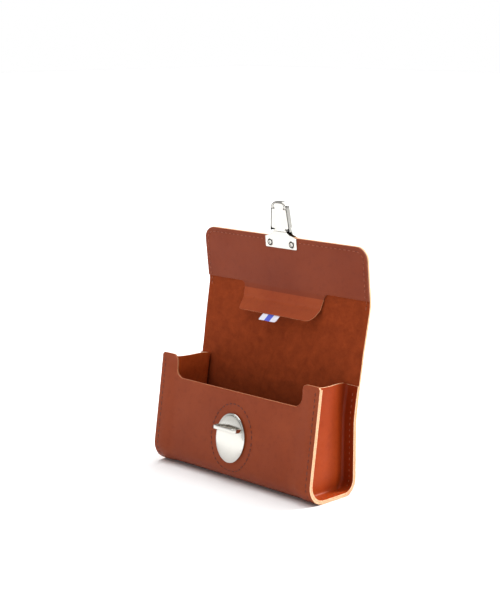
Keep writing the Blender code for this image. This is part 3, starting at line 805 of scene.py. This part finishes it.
def along_line(points, pitch, length):
    """(start, end) of each stitch along a flat polyline."""
    lengths = [0.0]
    for a, b in zip(points, points[1:]):
        lengths.append(lengths[-1] + (b - a).length)

    def at(distance):
        for a, b, low, high in zip(points, points[1:], lengths, lengths[1:]):
            if distance <= high:
                return a.lerp(b, (distance - low) / (high - low))
        return points[-1]

    stitches = []
    place = 0.0
    while place + length <= lengths[-1] + SAME_PLACE:
        stitches.append((at(place), at(place + length)))
        place += pitch
    return stitches


THREAD_PROFILE = ((0, 0.4, -0.5), (0.12, 0.85, 0.15), (0.5, 1, 0.55), (0.88, 0.85, 0.15), (1, 0.4, -0.5))
THREAD_SIDES, HOLE_SIDES = 7, 8
SEAM_PITCH = 4.6 * MM


def sew(name, place, stitches, surface, out, material, body, radius=0.33 * MM):
    """One mesh of short threads between holes, which are flat discs of painted shade. Surface is the height
    of the leather, out is +1 or -1.

    THREAD_PROFILE gives each ring's share of the stitch's length, of the radius, and its lift in radii.
    """
    bm = bmesh.new()
    for number, (first, last) in enumerate(stitches):
        a, b = place(*first, surface), place(*last, surface)
        middle = (first + last) / 2
        up = (place(*middle, surface + out * MM) - place(*middle, surface)).normalized()
        along = (b - a).normalized()
        side = up.cross(along)
        lean = side * 0.12 * MM * noise.noise(Vector((number * 7.3, radius * 1e4, 1.7)))
        rings = []
        for share, thick, lift in THREAD_PROFILE:
            centre = a.lerp(b, share) + up * radius * lift + lean * sin(pi * share)
            ring = []
            for k in range(THREAD_SIDES):
                angle = 2 * pi * k / THREAD_SIDES
                spot = centre + (side * cos(angle) + up * sin(angle) * 0.75) * radius * thick
                ring.append(bm.verts.new(spot))
            rings.append(ring)
        tube(bm, rings)
        # A flat disc of painted shade at each end, for the hole.
        for end in (a, b):
            hole = []
            for k in range(HOLE_SIDES):
                angle = 2 * pi * k / HOLE_SIDES
                spot = end + up * TOUCH + (side * cos(angle) + along * sin(angle)) * radius
                hole.append(bm.verts.new(spot))
            bm.faces.new(hole).material_index = 1
    keep_flat_place(bm)
    bmesh.ops.recalc_face_normals(bm, faces=[f for f in bm.faces if f.material_index == 0])
    return finish_mesh(name, bm, (material, HOLE_PAINTED_SHADE), body, sharp=80)


def lining_stitches():
    """The seam that holds the lining: along its free edges, and a little way down the flap past its foot."""
    edge = 3.6 * MM
    half, foot, top = HALF_WIDTH - edge, FRONT_FOLD - 7.5 * MM, TIP - edge
    line = rounded([(-half, foot, 0), (-half, top, 6.6 * MM), (half, top, 6.6 * MM), (half, foot, 0)])
    on_lining, below = [], []
    for pair in along_line(line, SEAM_PITCH, 2.9 * MM):
        under_hasp = abs((pair[0].x + pair[1].x) / 2) <= 18 * MM and pair[0].y >= TIP - 12 * MM
        if min(p.y for p in pair) < LINING_FOOT:
            below.append(pair)
        elif not under_hasp:
            on_lining.append(pair)
    sides = (
        ("lining_seam", on_lining, LINING_MIDDLE - LINING / 2, -1, THREAD_LIGHT),
        ("lining_seam_low", below, -STRIP / 2, -1, THREAD_LIGHT),
        ("lining_seam_outside", on_lining + below, STRIP / 2, 1, THREAD_DARK),
    )
    for name, chosen, height, out, material in sides:
        bend_at_front_fold(sew(name, on_strip, chosen, height, out, material, None))


def side_seams():
    """The seams that join strip and gussets, outside on the strip and inside on each gusset's flange."""
    half, start, end = HALF_WIDTH - 4.2 * MM, 5.0 * MM, BACK_SPLIT - 3.0 * MM
    stitches = []
    for side in (-1, 1):
        line = [Vector((side * half, start)), Vector((side * half, end))]
        stitches += along_line(line, SEAM_PITCH, 2.3 * MM)
    sew("side_seam_outside", on_strip, stitches, STRIP / 2, 1, THREAD_DARK, "case")
    flange = GUSSET_LEVEL - GUSSET / 2
    sew("side_seam_inside", on_strip, stitches, flange, -1, THREAD_LIGHT, "case", radius=0.30 * MM)


def lock_seam():
    """The oval seam round the lock, through the strip and the patch behind it."""
    ring = [Vector((p.x, LOCK_ALONG + p.y)) for p in ellipse(22.4 * MM, 27.2 * MM, steps=120)]
    stitches = along_line(ring + ring[:1], 4.3 * MM, 2.2 * MM)
    inner_face = LINING_MIDDLE - LINING / 2
    sew("lock_seam", on_strip, stitches, STRIP / 2, 1, THREAD_DARK, "case", radius=0.38 * MM)
    sew("lock_seam_inside", on_strip, stitches, inner_face, -1, THREAD_LIGHT, "case", radius=0.28 * MM)


def lock_patch():
    half_x, half_z = 24.5 * MM, 28.5 * MM
    outline = [Vector((p.x, LOCK_ALONG + p.y)) for p in ellipse(half_x, half_z)]
    bm = ring_solid(outline, rolled_rings(LINING / 2, LINING_ROLL))
    slice_mesh(bm, "Y", spaced(LOCK_ALONG - 28 * MM, LOCK_ALONG + 28 * MM, 2.4 * MM))
    slice_mesh(bm, "X", spaced(-24 * MM, 24 * MM, 4 * MM))
    bend(bm, lambda across, along, height: on_strip(across, along, LINING_MIDDLE + height))
    # Its cut edge takes the darkened edge colour: painted shade.
    made = finish_mesh("lock_patch_leather", bm, (FLESH, LINING_GRAIN, EDGE_PAINTED_SHADE), "case")
    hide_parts("lock_patch")


# Lock -----------------------------------


def on_lock(across, up, out):
    """A place on the lock: out is the distance in front of the panel's face."""
    return LOCK_CENTRE + LOCK_TURN @ Vector((across, -out, up))


def metal(name, bm, place, body, node, sharp=30, materials=(NICKEL,)):
    """Moves a flat bmesh to place(across, up, depth), and hides its CAD node, if it has one."""
    for vert in bm.verts:
        vert.co = place(*vert.co)
    bmesh.ops.recalc_face_normals(bm, faces=bm.faces)
    if bm.calc_volume(signed=True) < 0:
        bmesh.ops.reverse_faces(bm, faces=bm.faces)
    keep_flat_place(bm)
    made = finish_mesh(name, bm, materials, body, sharp=sharp)
    if node:
        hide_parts(node)


def lock_plate():
    """An oval escutcheon: a crisp rim, then a low dome. Levels are (share of the size, height in mm)."""
    half_x, half_z = LOCK_PLATE_HALF
    levels = [(1.0, 0.05), (1.0, 0.50), (0.992, 0.72), (0.975, 0.86), (0.955, 0.93)]
    for k in range(12):
        angle = pi / 2 * k / 12
        levels.append((0.93 * cos(angle), 0.95 + 1.15 * sin(angle)))
    bm = bmesh.new()
    rings = []
    for share, height in levels:
        rings.append([bm.verts.new((p.x, p.y, height * MM)) for p in ellipse(half_x * share, half_z * share)])
    tube(bm, rings)
    metal("lock_plate_polished", bm, on_lock, "case", "lock_plate", sharp=50)


def swept(path, half_wide, half_high, radius):
    """A bmesh of a bar whose section, a rounded rectangle, follows a path in the plane."""
    section = mirrored([(half_wide, -half_high, radius), (half_wide, half_high, radius)], steps=3)
    bm = bmesh.new()
    rings = []
    for i, point in enumerate(path):
        before = (point - path[i - 1]).normalized() if i else (path[1] - point).normalized()
        after = (path[i + 1] - point).normalized() if i < len(path) - 1 else before
        along = (before + after).normalized()
        sideways = Vector((along.y, -along.x)) / max(0.5, along.dot(before))
        rings.append([bm.verts.new((*(point + sideways * p.x), p.y)) for p in section])
    tube(bm, rings)
    return bm


def lock_bow():
    """The bridge on the plate, with its feet bent inwards behind the front."""
    middle, foot, reach = 11.85 * MM, -5.25 * MM, 9.15 * MM
    toe, above_centre = 3.8 * MM, 7.8 * MM
    path = rounded(
        [
            (-middle + toe, foot, 0),
            (-middle, foot, 0.8 * MM),
            (-middle, reach, 3.0 * MM),
            (middle, reach, 3.0 * MM),
            (middle, foot, 0.8 * MM),
            (middle - toe, foot, 0),
        ],
        steps=9,
    )
    bm = swept(path, half_wide=0.65 * MM, half_high=1.65 * MM, radius=0.45 * MM)

    def place(across, out, up):
        return on_lock(across, above_centre + up, out)

    metal("lock_bow_polished", bm, place, "case", "lock_bow", sharp=50)


# Hasp -----------------------------------

PLATE_LEVEL = 0.45 * MM
SHELL_OUT = 5.15 * MM
SHEET = 0.8 * MM
SHELL_LOW, SHELL_TOP = 4.6 * MM, 28.6 * MM
TIP_LINE, CROWN_HALF, CROWN_TOP = 22.4 * MM, 5.9 * MM, 27.2 * MM
RIVET_X, RIVET_UP = 11.8 * MM, -5.5 * MM


def on_hasp(across, up, depth):
    """A place on the hasp: up is past the flap's free edge, depth runs from its inner face to its outer."""
    return HASP_ORIGIN + HASP_TURN @ Vector((across, depth, up))


def grooved(across, up, depth):
    """As on_hasp, but the outer faces dip where the lock's bow crosses them."""
    dip = ease(up, 0.9 * MM, 2.4 * MM) * (1 - ease(up, 6.7 * MM, 8.4 * MM))
    return on_hasp(across, up, depth - 1.1 * MM * dip * (depth > SHELL_OUT / 2))


def hasp_half(up):
    """Half the width of the hasp's tongue, which narrows by 2.7 mm over 23.9 mm."""
    return 10.7 * MM - 2.7 / 23.9 * (up - SHELL_LOW)


def base_outline(half_neck, neck_top, slope, out, bend_radius):
    """A riveted plate whose shoulders run in to a neck. Slope is the shoulders' last drop, out its width."""
    half, low, high = 17.0 * MM, -9.5 * MM, -0.6 * MM
    return mirrored(
        [
            (half, low, 0.9 * MM),
            (half, high, 0.7 * MM),
            (half_neck + out, neck_top - slope, bend_radius),
            (half_neck, neck_top, 0),
        ],
        steps=5,
    )


def plate_between(outline, low, high, radius=0.2 * MM):
    """A thin plate with rounded edges from one depth to the other."""
    half = (high - low) / 2
    bm = ring_solid(outline, rolled_rings(half, radius, flat_margin=0.05 * MM))
    for vert in bm.verts:
        vert.co.z += (low + high) / 2
    return bm


def hasp_inner_base():
    outline = base_outline(6.8 * MM, neck_top=4.05 * MM, slope=1.9 * MM, out=2.4 * MM, bend_radius=2.6 * MM)
    bm = plate_between(outline, PLATE_LEVEL, PLATE_LEVEL + SHEET)
    metal("hasp_inner_base", bm, on_hasp, "flap_front", "hasp_base")


def hasp_inner_plate():
    """The sprung plate: a notched foot at the neck, and a crown past small notches at the shell's lip."""
    foot, foot_half, notch_half = 4.25 * MM, 6.6 * MM, 5.4 * MM
    shoulder, inset = 6.5 * MM, 0.95 * MM
    crown_foot, crown_notch = TIP_LINE + 0.9 * MM, 1.3 * MM
    outline = mirrored(
        [
            (foot_half, foot, 0),
            (foot_half, shoulder - 1.2 * MM, 0.45 * MM),
            (notch_half, shoulder - 1.2 * MM, 0.4 * MM),
            (notch_half, shoulder, 0.4 * MM),
            (hasp_half(shoulder) - inset, shoulder, 1.5 * MM),
            (hasp_half(TIP_LINE) - inset, TIP_LINE, 0.7 * MM),
            (CROWN_HALF - crown_notch, TIP_LINE, 0.4 * MM),
            (CROWN_HALF - crown_notch, crown_foot, 0.4 * MM),
            (CROWN_HALF, crown_foot, 0.35 * MM),
            (CROWN_HALF, CROWN_TOP, 3.4 * MM),
        ],
        steps=5,
    )
    bm = plate_between(outline, PLATE_LEVEL + 0.05 * MM, PLATE_LEVEL + 0.65 * MM, radius=0.15 * MM)
    metal("hasp_inner_plate", bm, on_hasp, "hasp_catch", "hasp_catch")


def hasp_shell():
    """The hollow stamping, open towards the flap and at its low end, and the lip round its tip."""
    low, top = (hasp_half(SHELL_LOW), SHELL_LOW, 0), (hasp_half(SHELL_TOP), SHELL_TOP, 6.4 * MM)
    outline = mirrored([low, top], steps=12)
    roof, roll = SHELL_OUT - SHEET, 1.5 * MM
    angles = [pi / 2 * k / 6 for k in range(7)]
    rings = [(roll * (1 - sin(a)), SHELL_OUT - roll * (1 - cos(a))) for a in angles]
    rings += [(0, PLATE_LEVEL + 0.2 * MM), (0.06 * MM, PLATE_LEVEL + 0.06 * MM), (0.2 * MM, PLATE_LEVEL)]
    rings += [(SHEET - 0.1 * MM, PLATE_LEVEL), (SHEET, PLATE_LEVEL + 0.1 * MM), (SHEET, roof)]
    bm = ring_solid(outline, rings, cut_at(SHELL_LOW))
    slice_mesh(bm, "Y", spaced(4.5 * MM, 9.0 * MM, 0.5 * MM))
    centre = Vector((0, 14 * MM))
    # Faces under the roof and the walls turned in take the near-black nickel: painted shade inside the
    # hollow.
    for face in bm.faces:
        under_roof = face.normal.z < -0.5 and all(v.co.z < roof + SAME_PLACE for v in face.verts)
        turned_in = face.normal.xy.dot(face.calc_center_median().xy - centre) < -SAME_PLACE
        face.material_index = 1 if under_roof or turned_in else 0
    materials = (NICKEL, NICKEL_PAINTED_SHADE)
    metal("hasp_shell_polished", bm, grooved, "flap_front", "hasp_shell", sharp=40, materials=materials)

    gap, foot = 0.45 * MM, TIP_LINE + 0.4 * MM
    inner = [(CROWN_HALF + gap, foot, 0), (CROWN_HALF + gap, CROWN_TOP + gap, 3.85 * MM)]
    inner = [(-x, up, radius) for x, up, radius in inner] + inner[::-1]
    outer = [Vector((hasp_half(foot), foot))] + [p for p in outline if p.y >= foot]
    outer.append(Vector((-hasp_half(foot), foot)))
    lip = outer + rounded(inner, steps=10)
    bm = plate_between(lip, PLATE_LEVEL + 0.02 * MM, PLATE_LEVEL + 0.55 * MM, radius=0.1 * MM)
    slice_mesh(bm, "X", spaced(-8 * MM, 8 * MM, 1.0 * MM))
    slice_mesh(bm, "Y", spaced(foot, SHELL_TOP, 0.8 * MM))
    metal("hasp_shell_lip", bm, on_hasp, "flap_front", None)


def hasp_outer_base():
    outline = base_outline(10.1 * MM, neck_top=5.4 * MM, slope=3.4 * MM, out=1.0 * MM, bend_radius=1.2 * MM)
    bm = plate_between(outline, SHELL_OUT - SHEET, SHELL_OUT, radius=0.25 * MM)
    slice_mesh(bm, "Y", spaced(0.5 * MM, 9.0 * MM, 0.5 * MM))
    metal("hasp_outer_base", bm, grooved, "flap_front", None)


def turned(profile, steps=32):
    """A bmesh turned round the third axis, from profile (radius, depth, is it painted shade)."""
    bm = bmesh.new()
    rings = []
    for radius, depth, _ in profile:
        angles = [2 * pi * k / steps for k in range(steps)] if radius else [0.0]
        rings.append([bm.verts.new((radius * cos(a), radius * sin(a), depth)) for a in angles])
    # Faces flagged dark take the near-black nickel: painted shade.
    for a, b, (_, _, dark) in zip(rings, rings[1:], profile[1:]):
        for k in range(steps):
            n = (k + 1) % steps
            corners = [a[k % len(a)], a[n % len(a)], b[n % len(b)], b[k % len(b)]]
            face = bm.faces.new(list(dict.fromkeys(corners)))
            face.material_index = dark
    return bm


# (radius, depth, is it painted shade) in mm. The inner end is a rolled lip in a ring of painted shade, the
# outer a low dome.
RIVET_LIP = ((0, -0.05, 0), (0.75, -0.06, 0), (0.95, -0.35, 1), (1.25, -0.58, 0), (1.6, -0.55, 0))
RIVET_RING = ((1.75, -0.3, 0), (1.8, -0.02, 1), (2.7, -0.02, 1), (2.8, -0.22, 1), (3.0, -0.24, 0))
RIVET_BACK = ((3.15, -0.02, 0), (3.05, 0.1, 0), (0, 0.1, 0))
RIVET_RIM = ((0, -0.1, 0), (2.7, -0.1, 0), (2.8, 0.12, 0), (2.55, 0.42, 0))
RIVET_DOME = ((1.9, 0.72, 0), (1.0, 0.9, 0), (0, 0.96, 0))


def hasp_rivets():
    """Tubular rivets through the base plates."""
    inner = ("inner", RIVET_LIP + RIVET_RING + RIVET_BACK, PLATE_LEVEL)
    outer = ("outer", RIVET_RIM + RIVET_DOME, SHELL_OUT)
    for side_name, side in (("left", -1), ("right", 1)):
        for end, profile, level in (inner, outer):
            bm = turned([(radius * MM, depth * MM + level, dark) for radius, depth, dark in profile])

            def place(x, y, depth, side=side):
                return on_hasp(x + side * RIVET_X, y + RIVET_UP, depth)

            node = f"hasp_rivet_{side_name}" if end == "inner" else None
            name = f"hasp_rivet_{end}_{side_name}"
            metal(name, bm, place, "flap_front", node, sharp=45, materials=(NICKEL, NICKEL_PAINTED_SHADE))


def keep_cad_metal():
    """Small hidden hardware keeps its CAD shape, and gets a finish."""
    for name in ("lock_back_plate", "lock_rivet_upper", "lock_rivet_lower", "hasp_pin", "hasp_spring"):
        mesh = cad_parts[name].data
        mesh.materials.clear()
        mesh.materials.append(STEEL)


# Stage ----------------------------------


def area_light(name, place, target, size, power):
    data = bpy.data.lights.new(name, "AREA")
    data.size = size
    data.energy = power
    made = bpy.data.objects.new(name, data)
    made.location = place
    made.rotation_euler = (Vector(target) - Vector(place)).to_track_quat("-Z", "Y").to_euler()
    bpy.context.scene.collection.objects.link(made)


def sun_light(name, towards, strength, spread):
    data = bpy.data.lights.new(name, "SUN")
    data.energy = strength
    data.angle = radians(spread)
    made = bpy.data.objects.new(name, data)
    made.rotation_euler = (-Vector(towards)).to_track_quat("-Z", "Y").to_euler()
    bpy.context.scene.collection.objects.link(made)


def floor():
    bm = bmesh.new()
    bmesh.ops.create_grid(bm, x_segments=1, y_segments=1, size=8.0)
    mesh = bpy.data.meshes.new("floor")
    bm.to_mesh(mesh)
    bm.free()
    paper = Surface("paper", 0.9, specular=0.1)
    shade = paper.noise(paper.new("ShaderNodeTexCoord").outputs["Object"], 3.0)
    paper.link(paper.mix(shade, (0.93, 0.93, 0.93), (0.95, 0.95, 0.95)), "Base Color")
    mesh.materials.append(paper.material)
    made = bpy.data.objects.new("floor", mesh)
    bpy.context.scene.collection.objects.link(made)


def studio():
    """A white room that darkens overhead, a key and a broad overhead light from behind, and a soft fill."""
    world = bpy.data.worlds.new("studio")
    world.use_nodes = True
    nodes, links = world.node_tree.nodes, world.node_tree.links
    background = nodes["Background"]
    direction = nodes.new("ShaderNodeTexCoord").outputs["Generated"]
    height = nodes.new("ShaderNodeSeparateXYZ")
    links.new(direction, height.inputs[0])
    fade = nodes.new("ShaderNodeMapRange")
    for socket, value in {"From Min": 0.10, "From Max": 0.50, "To Min": 1.0, "To Max": 0.22}.items():
        fade.inputs[socket].default_value = value
    links.new(height.outputs["Z"], fade.inputs["Value"])
    background.inputs["Color"].default_value = (1, 1, 1, 1)
    links.new(fade.outputs["Result"], background.inputs["Strength"])
    bpy.context.scene.world = world
    sun_light("key", towards=(0.52, 1.0, 0.92), strength=2.9, spread=12)
    sun_light("overhead", towards=(0.0, 0.30, 1.0), strength=2.4, spread=65)
    area_light("fill", place=(-0.35, -0.72, 1.60), target=(0, 0, 0.08), size=1.2, power=14)
    bpy.context.scene.view_settings.view_transform = "Standard"


def camera():
    """A long lens, from the right and a little above."""
    data = bpy.data.cameras.new("camera")
    data.lens = 87.66
    data.sensor_width = 36
    tilt_down, heading = 10.702, 45
    made = bpy.data.objects.new("camera", data)
    made.location = (0.7991, -0.8009, 0.3586)
    made.rotation_euler = (radians(90 - tilt_down), 0, radians(heading))
    bpy.context.scene.collection.objects.link(made)
    bpy.context.scene.camera = made


camera()
floor()
studio()
strip_body()
strip_flap()
lining()
lining_tongue()
ribbon()
gusset("gusset_leather_left", -1, "gusset_left")
gusset("gusset_leather_right", 1, "gusset_right")
lock_patch()
lock_plate()
lock_bow()
hasp_inner_base()
hasp_inner_plate()
hasp_shell()
hasp_outer_base()
hasp_rivets()
lining_stitches()
side_seams()
lock_seam()
keep_cad_metal()
